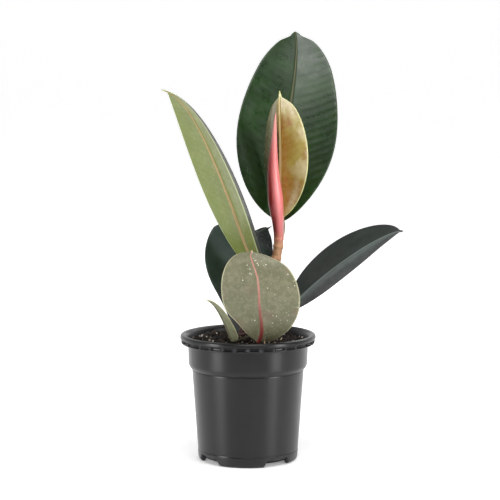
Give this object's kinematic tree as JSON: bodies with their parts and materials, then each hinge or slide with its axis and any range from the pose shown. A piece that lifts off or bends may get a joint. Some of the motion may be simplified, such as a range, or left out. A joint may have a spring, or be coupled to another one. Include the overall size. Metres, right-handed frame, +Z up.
{
  "type": "potted rubber plant",
  "caption": "Young rubber plant with broad leathery leaves, a pink bud sheath and a golden young leaf, growing in soil in a round black nursery pot.",
  "frame": {"origin": "centre of the pot's flat floor, on the surface that the pot stands on", "axes": "+Z up the pot's axis, -Y towards the front, where the small round leaf leans over the rim, +X to the right seen from the front"},
  "size_m": [0.2094, 0.1323, 0.3788],
  "materials": {
    "pot_plastic": "satin moulded black plastic with soft vertical highlights",
    "potting_mix": "dark damp peat and bark crumbs, matt",
    "stem_bark": "smooth young bark, brown below and pink-tan above",
    "sheath_skin": "waxy pink skin, satin",
    "leaf_dark_green": "glossy leathery upper side, fine side veins",
    "leaf_young_gold": "glossy golden young leaf with a pale margin",
    "leaf_light_olive": "satin light olive under side, tan midrib",
    "leaf_grey_olive": "dusty grey-olive under side, red midrib",
    "leaf_teal_dark": "satin blue-green upper side with a grey sheen",
    "bark_pieces": "rough bark chips",
    "perlite": "white porous grains",
    "straw": "dry pale splinters"
  },
  "bodies": {
    "root": {"pot": "pot_plastic", "potting_soil": "potting_mix", "stem": "stem_bark", "bud_sheath": "sheath_skin", "leaf_tall_back": "leaf_dark_green", "young_leaf": "leaf_young_gold", "leaf_left_long": "leaf_light_olive", "leaf_front_round": "leaf_grey_olive", "leaf_right": "leaf_teal_dark", "leaf_back_left": "leaf_teal_dark", "leaf_small_front_left": "leaf_grey_olive", "bark_chip_left": "bark_pieces", "bark_chip_back": "bark_pieces", "bark_chip_front": "bark_pieces", "perlite_left": "perlite", "perlite_back_left": "perlite", "perlite_back": "perlite", "perlite_right": "perlite", "straw_left": "straw"}
  },
  "joints": []
}
